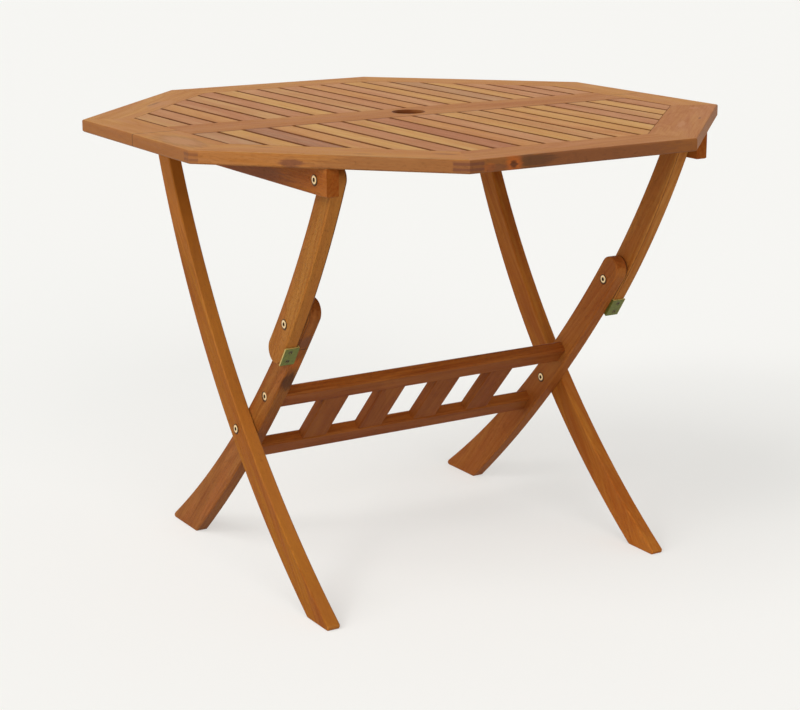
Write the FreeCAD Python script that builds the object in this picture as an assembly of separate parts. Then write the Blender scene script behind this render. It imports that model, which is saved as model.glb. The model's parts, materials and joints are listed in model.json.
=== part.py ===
import FreeCAD, Part
import math
import os

os.makedirs("parts", exist_ok=True)

# Folding octagonal garden table with a parasol hole, in millimetres.
# The origin lies on the floor under the centre of the top, with +Z up.
# X runs along the parasol rail, and -Y is the front of the table.

# Tabletop: octagon, frame boards, slats and parasol rail
ACROSS_FLATS = 1000.0
END_SIDE = 404.0
FRONT_SIDE = 411.0
TABLE_HEIGHT = 755.0
TOP_THICKNESS = 20.0
FRAME_BOARD_WIDTH = 78.0
SLAT_COUNT = 19
SLAT_GAP = 5.0
RAIL_WIDTH = 94.6
PARASOL_HOLE_DIAMETER = 50.0
HOLE_RIM_CHAMFER = 3.0
BOARD_TOP_ROUND = 3.0
BOARD_UNDER_CHAMFER = 2.0
BOARD_INNER_CHAMFER = 0.8
SLAT_CHAMFER = 1.2
TONGUE_LENGTH = 8.0
TONGUE_THICKNESS = 6.0

# Battens under the top
BATTEN_SETBACK = 147.5
BATTEN_THICKNESS = 20.0
BATTEN_HEIGHT = 42.5
BATTEN_LENGTH = 700.0
BATTEN_CHAMFER = 1.5

# Leg layers, from the battens inwards
LEG_THICKNESS = 23.0
LAYER_GAP = 0.5
LEG_CHAMFER = 1.8
FOOT_CORNER_ROUND = 5.0

# Pivots in the plane of the legs: distance from the table's centre line, then height
TOP_PIVOT_DROP = 20.5
LEG_PIVOT_Y = 277.5
ARM_PIVOT_Y = -314.5
CROSSING_Y = 5.0
CROSSING_Z = 252.4
ELBOW_Y = -173.0
ELBOW_Z = 467.3

# Long legs
LEG_TOP_WIDTH = 38.6
LEG_CROSSING_WIDTH = 46.5
LEG_FOOT_Y = -270.3
LEG_FOOT_LENGTH = 77.7

# Upper arms of the folding struts
ARM_TOP_WIDTH = 39.6
ARM_ELBOW_WIDTH = 45.0
ARM_BOW = 6.0
ARM_TAIL = 60.0

# Lower segments of the folding struts
SEGMENT_ELBOW_WIDTH = 44.0
SEGMENT_CROSSING_WIDTH = 47.0
SEGMENT_NOSE = 24.0
SEGMENT_FOOT_Y = 278.5
SEGMENT_FOOT_LENGTH = 102.0

# Ladder between the lower segments
UPPER_RAIL_Y = -47.5
UPPER_RAIL_Z = 312.0
LADDER_RAIL_SPACING = 156.5
LADDER_SLOPE = 47.5
LADDER_RAIL_WIDTH = 36.0
LADDER_RAIL_THICKNESS = 21.0
LADDER_RAIL_CHAMFER = 3.0
RAIL_TENON_LENGTH = 14.0
RAIL_TENON_WIDTH = 16.0
RAIL_TENON_THICKNESS = 12.0
RUNG_COUNT = 4
RUNG_PITCH = 111.0
RUNG_WIDTH = 48.0
RUNG_THICKNESS = 18.0
RUNG_CHAMFER = 1.5
RUNG_TENON_LENGTH = 14.0
RUNG_TENON_WIDTH = 34.0
RUNG_TENON_THICKNESS = 8.0

# Elbow brackets
BRACKET_LENGTH = 38.0
BRACKET_START = 32.0
BRACKET_THICKNESS = 2.2
BRACKET_INNER_FLANGE = 20.0
BRACKET_REBATE = 1.8
BRACKET_STOP_GAP = 0.1
BRACKET_SCREW_DIAMETER = 4.4
BRACKET_SCREW_SPACING = 20.0
BRACKET_SCREW_LENGTH = 16.0

# Bolts and screws
BOLT_HEAD_DIAMETER = 15.0
BOLT_HEAD_SIDES = 16
BOLT_HEAD_THICKNESS = 1.6
BARREL_DIAMETER = 9.0
HEX_SOCKET = 4.0
HEX_SOCKET_DEPTH = 1.2
RAIL_BOLT_DIAMETER = 6.0
RAIL_BOLT_REACH = 42.0
BATTEN_SCREW_DIAMETER = 4.5
BATTEN_SCREW_REACH = 11.0
BATTEN_SCREW_SPACING = 300.0
BATTEN_SCREW_COUNT = 3
SCREW_SIDES = 12

# Fits, and the smallest length that tells two places apart
RUNNING_CLEARANCE = 0.05
SEAT_CLEARANCE = 0.1
TOLERANCE = 0.01

# Places worked out from the sizes above
UNDERSIDE = TABLE_HEIGHT - TOP_THICKNESS
HALF_ACROSS = ACROSS_FLATS / 2
MID_THICKNESS = TABLE_HEIGHT - TOP_THICKNESS / 2
TOP_PIVOT_Z = UNDERSIDE - TOP_PIVOT_DROP
BATTEN_OUT = HALF_ACROSS - BATTEN_SETBACK
BATTEN_IN = BATTEN_OUT - BATTEN_THICKNESS
LEG_OUT = BATTEN_IN - LAYER_GAP
LEG_IN = LEG_OUT - LEG_THICKNESS
SEGMENT_OUT = LEG_IN - LAYER_GAP
SEGMENT_IN = SEGMENT_OUT - LEG_THICKNESS
LEG_PIVOT = (LEG_PIVOT_Y, TOP_PIVOT_Z)
ARM_PIVOT = (ARM_PIVOT_Y, TOP_PIVOT_Z)
CROSSING = (CROSSING_Y, CROSSING_Z)
ELBOW = (ELBOW_Y, ELBOW_Z)
BARREL_RADIUS = BARREL_DIAMETER / 2
BARREL_HOLE = BARREL_RADIUS + RUNNING_CLEARANCE
RAIL_BOLT_RADIUS = RAIL_BOLT_DIAMETER / 2
BATTEN_SCREW_RADIUS = BATTEN_SCREW_DIAMETER / 2
BRACKET_SCREW_RADIUS = BRACKET_SCREW_DIAMETER / 2
GROOVE_DEPTH = TONGUE_LENGTH + SEAT_CLEARANCE
GROOVE_HALF_HEIGHT = TONGUE_THICKNESS / 2 + SEAT_CLEARANCE
SLAT_PITCH = (ACROSS_FLATS - 2 * FRAME_BOARD_WIDTH) / SLAT_COUNT
SIDES = {"left": -1, "right": 1}
X_AXIS = FreeCAD.Vector(1, 0, 0)
Y_AXIS = FreeCAD.Vector(0, 1, 0)
Z_AXIS = FreeCAD.Vector(0, 0, 1)


# Plane geometry, on pairs of numbers
def plus(a, b, scale=1.0):
    return (a[0] + b[0] * scale, a[1] + b[1] * scale)


def minus(a, b):
    return (a[0] - b[0], a[1] - b[1])


def between(a, b, share):
    return plus(a, minus(b, a), share)


def unit(a):
    length = math.hypot(a[0], a[1])
    return (a[0] / length, a[1] / length)


def circle_centre(a, b, c):
    ab, ac = minus(b, a), minus(c, a)
    cross = 2 * (ab[0] * ac[1] - ab[1] * ac[0])
    ab2 = ab[0] ** 2 + ab[1] ** 2
    ac2 = ac[0] ** 2 + ac[1] ** 2
    return (a[0] + (ac[1] * ab2 - ab[1] * ac2) / cross,
            a[1] + (ab[0] * ac2 - ac[0] * ab2) / cross)


def outward(point, centre):
    # The side of a member that faces away from its centre of curvature
    return unit(minus(point, centre))


def along(point, centre, distance):
    # A point moved along the circle about the centre, counter-clockwise when distance is positive
    dy, dz = minus(point, centre)
    turn = distance / math.hypot(dy, dz)
    return (centre[0] + dy * math.cos(turn) - dz * math.sin(turn),
            centre[1] + dy * math.sin(turn) + dz * math.cos(turn))


# Solids in the plane of the legs
def at(x, point):
    return FreeCAD.Vector(x, point[0], point[1])


def arc(x, a, b, c):
    return Part.Arc(at(x, a), at(x, b), at(x, c)).toShape()


def line(x, a, b):
    return Part.LineSegment(at(x, a), at(x, b)).toShape()


def polygon_plate(points, x_start, x_end):
    low, high = sorted((x_start, x_end))
    corners = [at(low, p) for p in points]
    return Part.Face(Part.makePolygon(corners + corners[:1])).extrude(X_AXIS * (high - low))


def rod(point, x_start, x_end, radius):
    low, high = sorted((x_start, x_end))
    return Part.makeCylinder(radius, high - low, at(low, point), X_AXIS)


def flat_sided_rod(start, end, radius, sides=SCREW_SIDES):
    # A rod with a few flat sides, for screws, heads and the holes that take them
    turn = FreeCAD.Rotation(Z_AXIS, end - start)
    angles = [2 * math.pi * i / sides for i in range(sides)]
    corners = [start + turn.multVec(FreeCAD.Vector(math.cos(a), math.sin(a), 0) * radius) for a in angles]
    return Part.Face(Part.makePolygon(corners + corners[:1])).extrude(end - start)


def layer(side, inner, outer):
    # The two X planes of a layer on one side of the table, lower one first
    low, high = sorted((side * inner, side * outer))
    return low, high


def ease_faces(solid):
    # Chamfers the outlines of a plate's two flat faces
    outlines = [e for e in solid.Edges if e.BoundBox.XLength < TOLERANCE]
    return solid.makeChamfer(LEG_CHAMFER, outlines)


def ease_foot(solid):
    # Rounds the two corners where the foot is cut flat on the floor
    corners = [e for e in solid.Edges if e.BoundBox.ZMax < TOLERANCE and e.BoundBox.YLength < TOLERANCE]
    return solid.makeFillet(FOOT_CORNER_ROUND, corners)


# Tabletop outline
def octagon(inset):
    # Corners of the octagon moved in by the inset, counter-clockwise from the front left diagonal
    half, end, front = HALF_ACROSS, END_SIDE / 2, FRONT_SIDE / 2
    outer = [(-half, -end), (-front, -half), (front, -half), (half, -end),
             (half, end), (front, half), (-front, half), (-half, end)]
    lines = []
    for a, b in zip(outer, outer[1:] + outer[:1]):
        direction = unit(minus(b, a))
        inward = (-direction[1], direction[0])
        lines.append((plus(a, inward, inset), direction))
    corners = []
    for (p, d), (q, e) in zip(lines[-1:] + lines[:-1], lines):
        cross = d[0] * e[1] - d[1] * e[0]
        reach = minus(q, p)
        corners.append(plus(p, d, (reach[0] * e[1] - reach[1] * e[0]) / cross))
    return corners


def flat_prism(points, bottom, top):
    corners = [FreeCAD.Vector(p[0], p[1], bottom) for p in points]
    return Part.Face(Part.makePolygon(corners + corners[:1])).extrude(Z_AXIS * (top - bottom))


def block(x0, x1, y0, y1, z0, z1):
    return Part.makeBox(x1 - x0, y1 - y0, z1 - z0, FreeCAD.Vector(x0, y0, z0))


def edge_near(solid, point, height):
    # The edge whose ends have their middle at a place on the top or the underside
    target = FreeCAD.Vector(point[0], point[1], height)

    def distance(edge):
        return ((edge.Vertexes[0].Point + edge.Vertexes[-1].Point) * 0.5 - target).Length

    return min(solid.Edges, key=distance)


def top_edges_along(solid, axis):
    # The top edges of a board that run along an axis
    found = []
    for edge in solid.Edges:
        run = edge.Vertexes[-1].Point - edge.Vertexes[0].Point
        straight = abs(run.dot(axis)) > run.Length - TOLERANCE
        if edge.BoundBox.ZMin > TABLE_HEIGHT - TOLERANCE and straight and run.Length > TOLERANCE:
            found.append(edge)
    return found


def frame_board(index, start_share=0.0, end_share=1.0):
    # One mitred board of the octagon, or a share of it where the side is made of two boards
    outer, inner = octagon(0), octagon(FRAME_BOARD_WIDTH)
    following = (index + 1) % len(outer)
    outer_ends = [between(outer[index], outer[following], s) for s in (start_share, end_share)]
    inner_ends = [between(inner[index], inner[following], s) for s in (start_share, end_share)]
    board = flat_prism(outer_ends + inner_ends[::-1], UNDERSIDE, TABLE_HEIGHT)
    outer_middle, inner_middle = between(*outer_ends, 0.5), between(*inner_ends, 0.5)
    board = board.makeFillet(BOARD_TOP_ROUND, [edge_near(board, outer_middle, TABLE_HEIGHT)])
    board = board.makeChamfer(BOARD_UNDER_CHAMFER, [edge_near(board, outer_middle, UNDERSIDE)])
    board = board.makeChamfer(BOARD_INNER_CHAMFER, [edge_near(board, inner_middle, TABLE_HEIGHT)])
    groove = flat_prism(octagon(FRAME_BOARD_WIDTH - GROOVE_DEPTH), MID_THICKNESS - GROOVE_HALF_HEIGHT,
                        MID_THICKNESS + GROOVE_HALF_HEIGHT)
    return board.cut(groove)


def frame_boards():
    sides = {"front_left_diagonal_board": 0, "front_board": 1, "front_right_diagonal_board": 2,
             "rear_right_diagonal_board": 4, "rear_board": 5, "rear_left_diagonal_board": 6}
    boards = {name: frame_board(index) for name, index in sides.items()}
    boards["right_front_end_board"] = frame_board(3, 0.0, 0.5)
    boards["right_rear_end_board"] = frame_board(3, 0.5, 1.0)
    boards["left_rear_end_board"] = frame_board(7, 0.0, 0.5)
    boards["left_front_end_board"] = frame_board(7, 0.5, 1.0)
    return boards


def tongued_field():
    # Slats and rail are cut from this field: a full body with a tongue all round it
    body = flat_prism(octagon(FRAME_BOARD_WIDTH), UNDERSIDE, TABLE_HEIGHT)
    tongue = flat_prism(octagon(FRAME_BOARD_WIDTH - TONGUE_LENGTH), MID_THICKNESS - TONGUE_THICKNESS / 2,
                        MID_THICKNESS + TONGUE_THICKNESS / 2)
    return body, tongue


def strip(x0, x1, y_near, y_far):
    low, high = sorted((y_near, y_far))
    return block(x0, x1, low, high, UNDERSIDE, TABLE_HEIGHT)


def slat_pair(index, field):
    # The front and rear slat of one column, each seated in the frame's and the rail's groove
    body, tongue = field
    centre = (index - (SLAT_COUNT - 1) / 2) * SLAT_PITCH
    x0, x1 = centre - (SLAT_PITCH - SLAT_GAP) / 2, centre + (SLAT_PITCH - SLAT_GAP) / 2
    slats = []
    for side in (-1, 1):
        slat = body.common(strip(x0, x1, side * RAIL_WIDTH / 2, side * HALF_ACROSS))
        slat = slat.makeChamfer(SLAT_CHAMFER, top_edges_along(slat, Y_AXIS))
        reach = side * (RAIL_WIDTH / 2 - TONGUE_LENGTH)
        slats.append(slat.fuse(tongue.common(strip(x0, x1, reach, side * HALF_ACROSS))).removeSplitter())
    return Part.makeCompound(slats)


def parasol_rail(field):
    body, tongue = field
    half = RAIL_WIDTH / 2
    area = strip(-HALF_ACROSS, HALF_ACROSS, -half, half)
    rail = body.common(area)
    rail = rail.makeChamfer(SLAT_CHAMFER, top_edges_along(rail, X_AXIS))
    rail = rail.fuse(tongue.common(area)).removeSplitter()
    groove_end = HALF_ACROSS - FRAME_BOARD_WIDTH
    for side in (-1, 1):
        low, high = sorted((side * half, side * (half - GROOVE_DEPTH)))
        rail = rail.cut(block(-groove_end, groove_end, low, high, MID_THICKNESS - GROOVE_HALF_HEIGHT,
                              MID_THICKNESS + GROOVE_HALF_HEIGHT))
    radius = PARASOL_HOLE_DIAMETER / 2
    rail = rail.cut(Part.makeCylinder(radius, TOP_THICKNESS, FreeCAD.Vector(0, 0, UNDERSIDE), Z_AXIS))
    rim_base = FreeCAD.Vector(0, 0, TABLE_HEIGHT - HOLE_RIM_CHAMFER)
    return rail.cut(Part.makeCone(radius, radius + HOLE_RIM_CHAMFER, HOLE_RIM_CHAMFER, rim_base, Z_AXIS))


# Battens and the screws that hold them to the top
def batten_screw_places():
    middle = (BATTEN_SCREW_COUNT - 1) / 2
    return [(i - middle) * BATTEN_SCREW_SPACING for i in range(BATTEN_SCREW_COUNT)]


def batten_screw(side, y, clearance=0.0):
    # From the batten's lower edge up into the top
    base = FreeCAD.Vector(side * (BATTEN_OUT + BATTEN_IN) / 2, y, UNDERSIDE - BATTEN_HEIGHT)
    tip = base + Z_AXIS * (BATTEN_HEIGHT + BATTEN_SCREW_REACH + clearance)
    return flat_sided_rod(base, tip, BATTEN_SCREW_RADIUS + clearance)


def batten_screws():
    return Part.makeCompound([batten_screw(side, y) for side in SIDES.values()
                              for y in batten_screw_places()])


def batten(side):
    x0, x1 = layer(side, BATTEN_IN, BATTEN_OUT)
    half = BATTEN_LENGTH / 2
    bar = block(x0, x1, -half, half, UNDERSIDE - BATTEN_HEIGHT, UNDERSIDE)
    lower = [e for e in bar.Edges if e.BoundBox.ZMax < UNDERSIDE - TOLERANCE]
    bar = bar.makeChamfer(BATTEN_CHAMFER, lower)
    for pivot in (LEG_PIVOT, ARM_PIVOT):
        bar = bar.cut(rod(pivot, x0, x1, BARREL_HOLE))
    for y in batten_screw_places():
        bar = bar.cut(batten_screw(side, y, SEAT_CLEARANCE))
    return bar


def drilled_for_screws(board):
    # Pilot holes from below where the batten screws reach into the top
    for side in SIDES.values():
        for y in batten_screw_places():
            hole = batten_screw(side, y, SEAT_CLEARANCE)
            if board.BoundBox.intersect(hole.BoundBox):
                board = board.cut(hole)
    return board


# Curved members of the two leg frames
def member(x_start, outer, inner, start_cap, end_cap):
    # A curved board between two edges, each an arc through three points
    edges = [arc(x_start, *outer), end_cap, arc(x_start, *inner[::-1]), start_cap]
    return Part.Face(Part.Wire(edges)).extrude(X_AXIS * LEG_THICKNESS)


def offsets(point, centre, width):
    side = outward(point, centre)
    return plus(point, side, width / 2), plus(point, side, -width / 2)


def round_end(x_start, point, centre, width, way):
    # Half circle round a member's end; way is 1 or -1 along its centre line
    direction = unit(minus(along(point, centre, way), point))
    first, last = offsets(point, centre, width)
    return arc(x_start, last, plus(point, direction, width / 2), first)


def long_leg(side):
    x0, x1 = layer(side, LEG_IN, LEG_OUT)
    foot = (LEG_FOOT_Y, 0.0)
    centre = circle_centre(LEG_PIVOT, CROSSING, foot)
    out_top, in_top = offsets(LEG_PIVOT, centre, LEG_TOP_WIDTH)
    out_mid, in_mid = offsets(CROSSING, centre, LEG_CROSSING_WIDTH)
    out_foot, in_foot = plus(foot, (LEG_FOOT_LENGTH / 2, 0)), plus(foot, (-LEG_FOOT_LENGTH / 2, 0))
    top = round_end(x0, LEG_PIVOT, centre, LEG_TOP_WIDTH, 1)
    leg = member(x0, (out_top, out_mid, out_foot), (in_top, in_mid, in_foot), top,
                 line(x0, out_foot, in_foot))
    leg = ease_faces(ease_foot(leg))
    for pivot in (LEG_PIVOT, CROSSING):
        leg = leg.cut(rod(pivot, x0, x1, BARREL_HOLE))
    return leg


def arm_line():
    # Centre of curvature and middle of the upper arm, from its two pivots and its bow
    run = unit(minus(ELBOW, ARM_PIVOT))
    bow = plus(between(ELBOW, ARM_PIVOT, 0.5), (run[1], -run[0]), ARM_BOW)
    return circle_centre(ARM_PIVOT, bow, ELBOW), bow


def upper_arm(side):
    x0, x1 = layer(side, LEG_IN, LEG_OUT)
    centre, bow = arm_line()
    tail = along(ELBOW, centre, ARM_TAIL)
    out_top, in_top = offsets(ARM_PIVOT, centre, ARM_TOP_WIDTH)
    out_mid, in_mid = offsets(bow, centre, (ARM_TOP_WIDTH + ARM_ELBOW_WIDTH) / 2)
    out_end, in_end = offsets(tail, centre, ARM_ELBOW_WIDTH)
    top = round_end(x0, ARM_PIVOT, centre, ARM_TOP_WIDTH, -1)
    arm = member(x0, (out_top, out_mid, out_end), (in_top, in_mid, in_end), top,
                 round_end(x0, tail, centre, ARM_ELBOW_WIDTH, 1))
    arm = ease_faces(arm)
    for pivot in (ARM_PIVOT, ELBOW):
        arm = arm.cut(rod(pivot, x0, x1, BARREL_HOLE))
    return arm


def lower_segment(side):
    x0, x1 = layer(side, SEGMENT_IN, SEGMENT_OUT)
    foot = (SEGMENT_FOOT_Y, 0.0)
    centre = circle_centre(ELBOW, CROSSING, foot)
    nose = along(ELBOW, centre, -SEGMENT_NOSE)
    out_top, in_top = offsets(nose, centre, SEGMENT_ELBOW_WIDTH)
    out_mid, in_mid = offsets(CROSSING, centre, SEGMENT_CROSSING_WIDTH)
    half_foot = SEGMENT_FOOT_LENGTH / 2
    out_foot, in_foot = plus(foot, (-half_foot, 0)), plus(foot, (half_foot, 0))
    top = round_end(x0, nose, centre, SEGMENT_ELBOW_WIDTH, -1)
    segment = member(x0, (out_top, out_mid, out_foot), (in_top, in_mid, in_foot), top,
                     line(x0, out_foot, in_foot))
    segment = ease_faces(ease_foot(segment))
    for pivot in (ELBOW, CROSSING):
        segment = segment.cut(rod(pivot, x0, x1, BARREL_HOLE))
    segment = segment.cut(rail_bolt(side, SEAT_CLEARANCE))
    for index in (0, 1):
        segment = segment.cut(rail_tenon(index, SEAT_CLEARANCE))
    segment = segment.cut(bracket_rebate(side))
    for point in bracket_screw_points():
        segment = segment.cut(bracket_screw(side, point, SEAT_CLEARANCE))
    return segment


# Ladder that ties the two lower segments together
def ladder_down():
    slope = math.radians(LADDER_SLOPE)
    return (math.cos(slope), -math.sin(slope))


def rail_centre(index):
    return plus((UPPER_RAIL_Y, UPPER_RAIL_Z), ladder_down(), index * LADDER_RAIL_SPACING)


def inwards(index):
    # The way along the slope from a rail towards the rungs: down from the upper, up from the lower
    return 1 if index == 0 else -1


def slanted_block(centre, x_start, x_end, width, thickness):
    # A block whose width lies along the ladder's slope
    down = ladder_down()
    out = (down[1], -down[0])
    points = [plus(plus(centre, down, a * width / 2), out, b * thickness / 2)
              for a, b in ((-1, -1), (1, -1), (1, 1), (-1, 1))]
    return polygon_plate(points, x_start, x_end)


def rail_tenon(index, clearance=0.0):
    # Runs through the rail's inner half and into both lower segments
    shift = inwards(index) * (LADDER_RAIL_WIDTH - RAIL_TENON_WIDTH) / 4
    centre = plus(rail_centre(index), ladder_down(), shift)
    reach = SEGMENT_IN + RAIL_TENON_LENGTH + clearance
    return slanted_block(centre, -reach, reach, RAIL_TENON_WIDTH + 2 * clearance,
                         RAIL_TENON_THICKNESS + 2 * clearance)


def rung_tenon(index, x, clearance=0.0):
    # Seated in a rail's inner edge
    depth = inwards(index) * (LADDER_RAIL_WIDTH - RUNG_TENON_LENGTH) / 2
    half = RUNG_TENON_WIDTH / 2 + clearance
    return slanted_block(plus(rail_centre(index), ladder_down(), depth), x - half, x + half,
                         RUNG_TENON_LENGTH + 2 * clearance, RUNG_TENON_THICKNESS + 2 * clearance)


def rung_places():
    middle = (RUNG_COUNT - 1) / 2
    return [(i - middle) * RUNG_PITCH for i in range(RUNG_COUNT)]


def ladder_rail(index):
    rail = slanted_block(rail_centre(index), -SEGMENT_IN, SEGMENT_IN, LADDER_RAIL_WIDTH,
                         LADDER_RAIL_THICKNESS)
    long_edges = [e for e in rail.Edges if e.BoundBox.XLength > TOLERANCE]
    rail = rail.makeChamfer(LADDER_RAIL_CHAMFER, long_edges).fuse(rail_tenon(index)).removeSplitter()
    for x in rung_places():
        rail = rail.cut(rung_tenon(index, x, SEAT_CLEARANCE))
    if index == 0:
        for side in SIDES.values():
            rail = rail.cut(rail_bolt(side, SEAT_CLEARANCE))
    return rail


def rung(x):
    length = LADDER_RAIL_SPACING - LADDER_RAIL_WIDTH
    middle = between(rail_centre(0), rail_centre(1), 0.5)
    body = slanted_block(middle, x - RUNG_WIDTH / 2, x + RUNG_WIDTH / 2, length, RUNG_THICKNESS)
    long_edges = [e for e in body.Edges if e.Length > length - TOLERANCE]
    body = body.makeChamfer(RUNG_CHAMFER, long_edges)
    return body.fuse([rung_tenon(0, x), rung_tenon(1, x)]).removeSplitter()


# Elbow brackets, which the arms' front edges rest against when the table stands
def elbow_point(down_tail, across):
    # A point given along the arm's tail and across it towards its front edge
    centre = arm_line()[0]
    tail, front = unit(minus(along(ELBOW, centre, 1), ELBOW)), outward(ELBOW, centre)
    return plus(plus(ELBOW, tail, down_tail), front, across)


def bracket_area(across_low, across_high, grow=0.0):
    low, high = BRACKET_START - grow, BRACKET_START + BRACKET_LENGTH + grow
    return [elbow_point(low, across_low), elbow_point(high, across_low),
            elbow_point(high, across_high), elbow_point(low, across_high)]


def bracket_front():
    # Inner face of the outer flange, just clear of the arm's front edge
    return ARM_ELBOW_WIDTH / 2 + BRACKET_STOP_GAP


def bracket_back():
    return ARM_ELBOW_WIDTH / 2 - BRACKET_INNER_FLANGE


def bracket_hole_places():
    middle = BRACKET_START + BRACKET_LENGTH / 2
    return [middle - BRACKET_SCREW_SPACING / 2, middle + BRACKET_SCREW_SPACING / 2]


def bracket_rebate(side):
    # The bed cut for the inner flange in the segment's outer face, open past its front edge
    area = bracket_area(bracket_back() - SEAT_CLEARANCE, SEGMENT_ELBOW_WIDTH, SEAT_CLEARANCE)
    return polygon_plate(area, side * SEGMENT_OUT, side * (SEGMENT_OUT - BRACKET_REBATE))


def bracket_screw_points():
    across = ARM_ELBOW_WIDTH / 2 - BRACKET_INNER_FLANGE / 2
    return [elbow_point(place, across) for place in bracket_hole_places()]


def bracket(side):
    front, seat = bracket_front(), SEGMENT_OUT - BRACKET_REBATE
    inner = polygon_plate(bracket_area(bracket_back(), front), side * seat, side * (seat + BRACKET_THICKNESS))
    outer = polygon_plate(bracket_area(front, front + BRACKET_THICKNESS), side * seat, side * LEG_OUT)
    angle = inner.fuse(outer).removeSplitter()
    for point in bracket_screw_points():
        angle = angle.cut(bracket_screw(side, point, SEAT_CLEARANCE))
    x_middle = side * (LEG_IN + LEG_OUT) / 2
    for place in bracket_hole_places():
        start = at(x_middle, elbow_point(place, front))
        end = at(x_middle, elbow_point(place, front + BRACKET_THICKNESS))
        angle = angle.cut(flat_sided_rod(start, end, BRACKET_SCREW_RADIUS + SEAT_CLEARANCE))
    return angle


def bracket_screw(side, point, clearance=0.0):
    # From the inner flange's face into the segment
    outer = SEGMENT_OUT - BRACKET_REBATE + BRACKET_THICKNESS
    inner = SEGMENT_OUT - BRACKET_SCREW_LENGTH - clearance
    return flat_sided_rod(at(side * outer, point), at(side * inner, point), BRACKET_SCREW_RADIUS + clearance)


def bracket_screws():
    return Part.makeCompound([bracket_screw(side, point)
                              for side in SIDES.values() for point in bracket_screw_points()])


# Bolts with flat tapered heads, each with a hexagonal key socket
def hex_socket(point, face, way):
    # The hole for a key in a head's face; way points out of the head
    angles = [math.radians(60 * i) for i in range(6)]
    corners = [plus(point, (math.cos(a), math.sin(a)), HEX_SOCKET / math.sqrt(3)) for a in angles]
    return polygon_plate(corners, face, face - way * HEX_SOCKET_DEPTH)


def bolt_head(point, seat, way):
    # Stands on the plane called seat, towards the sign of way
    face = seat + way * BOLT_HEAD_THICKNESS
    head = flat_sided_rod(at(seat, point), at(face, point), BOLT_HEAD_DIAMETER / 2, BOLT_HEAD_SIDES)
    return head.cut(hex_socket(point, face, way))


def headed_pin(point, seat, end):
    # One head at its seat, and a barrel with a plain end
    return rod(point, seat, end, BARREL_RADIUS).fuse(bolt_head(point, seat, 1 if seat > end else -1))


def arm_pivot_bolts():
    # Through the batten and the upper arm
    return Part.makeCompound([headed_pin(ARM_PIVOT, side * BATTEN_OUT, side * LEG_IN)
                              for side in SIDES.values()])


def elbow_bolts():
    # Through the arm and the lower segment, with a head on each face
    return Part.makeCompound([
        headed_pin(ELBOW, side * LEG_OUT, side * SEGMENT_IN).fuse(bolt_head(ELBOW, side * SEGMENT_IN, -side))
        for side in SIDES.values()])


def crossing_meeting(way):
    # Where the two halves of the crossing pivot end, just clear of each other between the layers
    return (SEGMENT_OUT + LEG_IN) / 2 + way * SEAT_CLEARANCE / 2


def crossing_sleeves():
    # The lower frame's half of the crossing pivot
    return Part.makeCompound([
        headed_pin(CROSSING, side * SEGMENT_IN, side * crossing_meeting(-1))
        for side in SIDES.values()])


def long_leg_bolts(side):
    # The bolt through the batten and the leg's top, and the leg's half of the crossing pivot
    return Part.makeCompound([headed_pin(LEG_PIVOT, side * BATTEN_OUT, side * LEG_IN),
                              headed_pin(CROSSING, side * LEG_OUT, side * crossing_meeting(1))])


def rail_bolt_point():
    # In the upper half of the upper rail, above its tenon
    return plus(rail_centre(0), ladder_down(), -LADDER_RAIL_WIDTH / 4)


def rail_bolt(side, clearance=0.0):
    # Its head lies flush in the segment's outer face, and its shank runs on into the upper rail
    point = rail_bolt_point()
    face, floor = at(side * SEGMENT_OUT, point), at(side * (SEGMENT_OUT - BOLT_HEAD_THICKNESS), point)
    end = at(side * (SEGMENT_IN - RAIL_BOLT_REACH - clearance), point)
    head = flat_sided_rod(floor, face, BOLT_HEAD_DIAMETER / 2 + clearance, BOLT_HEAD_SIDES)
    return flat_sided_rod(floor, end, RAIL_BOLT_RADIUS + clearance).fuse(head)


def rail_bolts():
    return Part.makeCompound([
        rail_bolt(side).cut(hex_socket(rail_bolt_point(), side * SEGMENT_OUT, side))
        for side in SIDES.values()])


def build():
    field = tongued_field()
    parts = frame_boards()
    parts["parasol_rail"] = parasol_rail(field)
    for i in range(SLAT_COUNT):
        parts["slats_%02d" % (i + 1)] = slat_pair(i, field)
    parts = {name: drilled_for_screws(board) for name, board in parts.items()}
    for name, side in SIDES.items():
        parts[name + "_batten"] = batten(side)
        parts[name + "_long_leg"] = long_leg(side)
        parts[name + "_upper_arm"] = upper_arm(side)
        parts[name + "_lower_segment"] = lower_segment(side)
        parts[name + "_elbow_bracket"] = bracket(side)
        parts[name + "_long_leg_bolts"] = long_leg_bolts(side)
    parts["upper_ladder_rail"] = ladder_rail(0)
    parts["lower_ladder_rail"] = ladder_rail(1)
    for i, x in enumerate(rung_places()):
        parts["ladder_rung_%d" % (i + 1)] = rung(x)
    parts["batten_screws"] = batten_screws()
    parts["bracket_screws"] = bracket_screws()
    parts["arm_pivot_bolts"] = arm_pivot_bolts()
    parts["elbow_bolts"] = elbow_bolts()
    parts["crossing_sleeves"] = crossing_sleeves()
    parts["rail_bolts"] = rail_bolts()
    return parts


for node, shape in build().items():
    shape.exportStep("parts/" + node + ".step")
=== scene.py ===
"""Looks of the folding umbrella table: its woods, its metal fittings and a plain studio."""

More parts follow.
